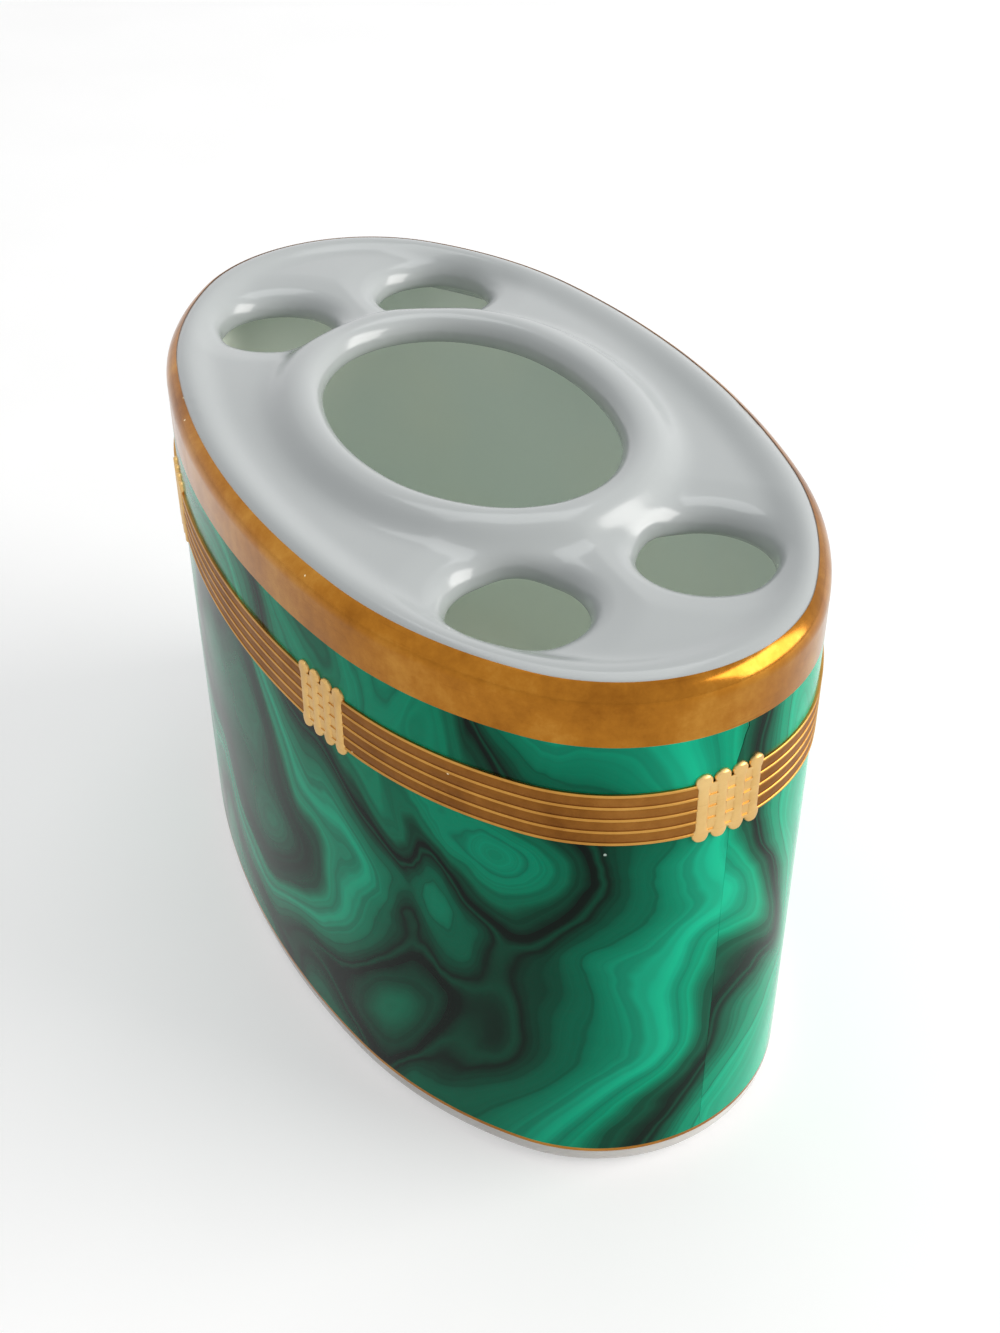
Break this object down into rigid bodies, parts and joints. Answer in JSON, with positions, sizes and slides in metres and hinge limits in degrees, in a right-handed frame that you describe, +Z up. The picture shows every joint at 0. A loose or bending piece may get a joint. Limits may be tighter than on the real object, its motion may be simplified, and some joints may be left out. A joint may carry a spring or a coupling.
{
  "type": "toothbrush holder",
  "caption": "Free-standing oval porcelain toothbrush holder with a pierced white top, a collared central opening, malachite-pattern wall and gilt bands.",
  "frame": {"origin": "centre of the oval foot, on the surface the holder stands on", "axes": "+X along the length of the oval, +Y across it, +Z up out of the openings"},
  "size_m": [0.1212, 0.0682, 0.0759],
  "materials": {
    "porcelain": "clear gloss glaze over white porcelain",
    "malachite": "banded green stone-imitation transfer under gloss glaze",
    "gilt": "fired gilding, bright on the rim, matt in the etched reeds"
  },
  "bodies": {
    "root": {"porcelain_body": "porcelain", "porcelain_deck": "porcelain", "malachite_wrap_front": "malachite", "malachite_wrap_back": "malachite", "gilt_rim_band": "gilt", "gilt_reed_band": "gilt", "gilt_foot_line": "gilt", "gilt_tie_1": "gilt", "gilt_tie_2": "gilt", "gilt_tie_3": "gilt", "gilt_tie_4": "gilt", "gilt_tie_5": "gilt", "gilt_tie_6": "gilt"}
  },
  "joints": []
}
